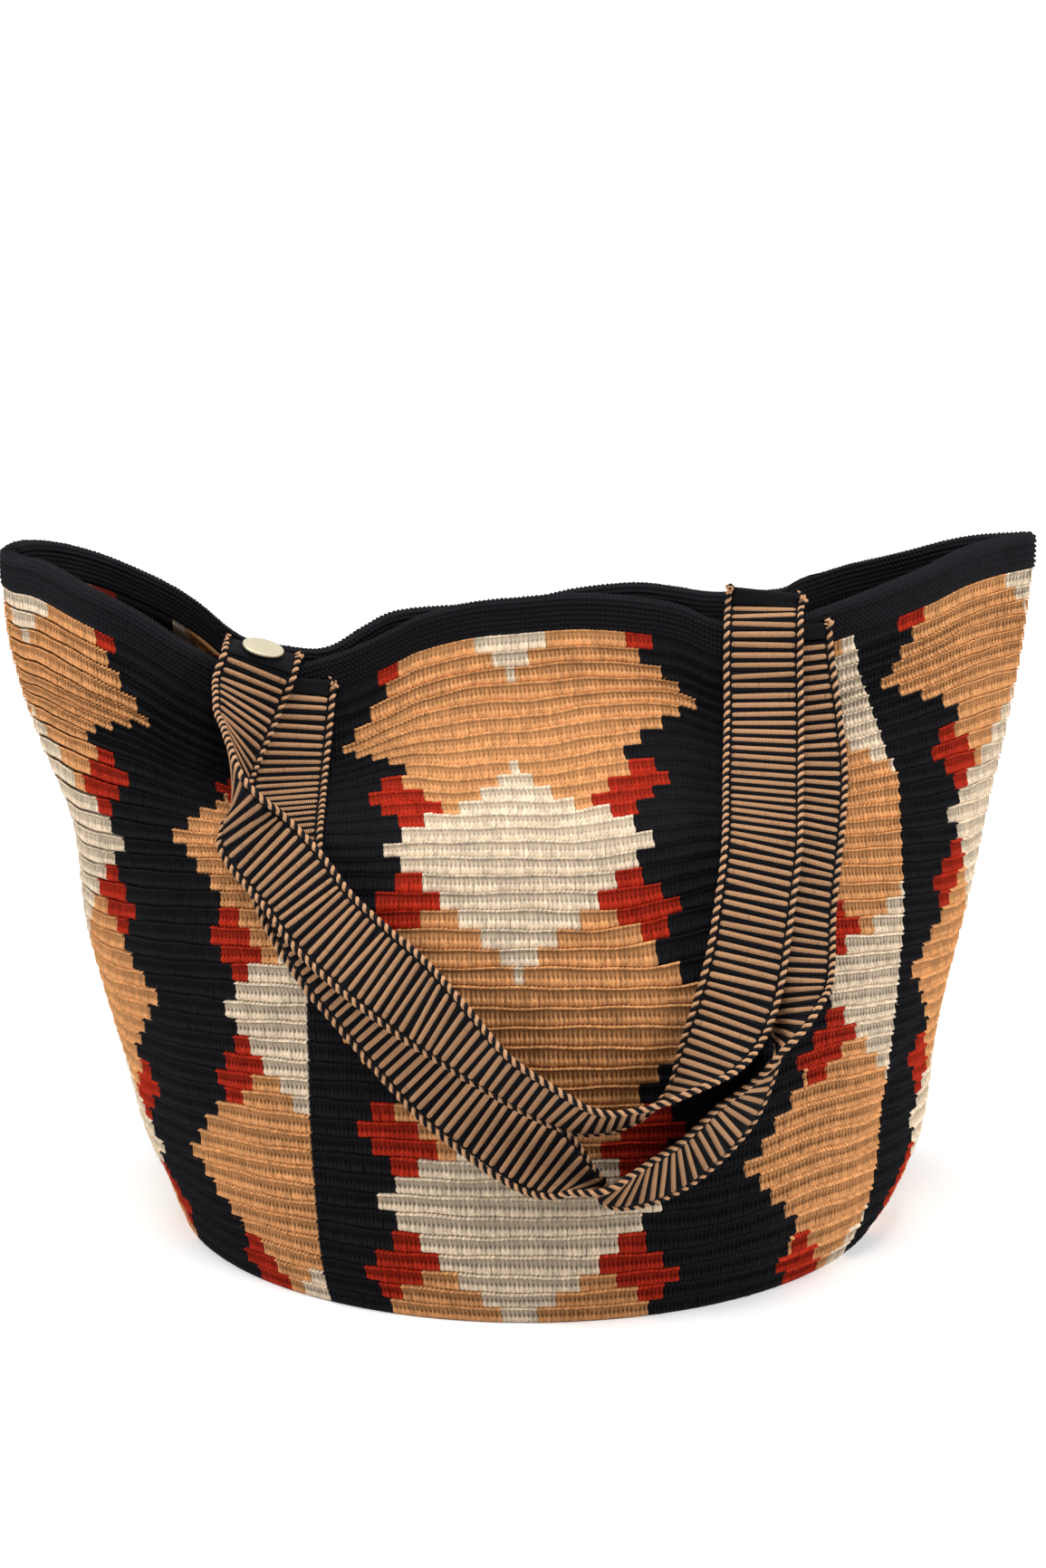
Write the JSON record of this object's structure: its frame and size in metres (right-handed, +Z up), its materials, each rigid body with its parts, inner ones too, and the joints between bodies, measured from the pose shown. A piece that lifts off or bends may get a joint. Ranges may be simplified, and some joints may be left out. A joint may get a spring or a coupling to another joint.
{
  "type": "crocheted tote bag",
  "caption": "Wide crocheted bucket tote with a round base, pinched mouth, knitted rim band and flat ribbed shoulder straps hanging over the front.",
  "frame": {"origin": "centre of the round base, on the floor", "axes": "+X to the right along the mouth, +Y from the strap side to the back, +Z up"},
  "size_m": [0.4537, 0.353, 0.3069],
  "materials": {
    "crochet": "matte cotton crochet in black, tan, cream and rust red",
    "rim_knit": "matte black knit",
    "strap_weave": "cross ribs in tan and black thread",
    "strap_braid": "braided tan and black cord",
    "hem_weave": "matte black weave",
    "stud_metal": "pale brushed metal"
  },
  "bodies": {
    "root": {"crochet_body": "crochet", "rim_band": "rim_knit", "front_strap": "strap_weave", "front_strap_edge_left": "strap_braid", "front_strap_edge_right": "strap_braid", "front_strap_end_left": "hem_weave", "front_strap_end_right": "hem_weave", "back_strap": "strap_weave", "back_strap_edge_left": "strap_braid", "back_strap_edge_right": "strap_braid", "back_strap_end_left": "hem_weave", "back_strap_end_right": "hem_weave", "stud_cap": "stud_metal", "stud_back": "stud_metal"}
  },
  "joints": []
}
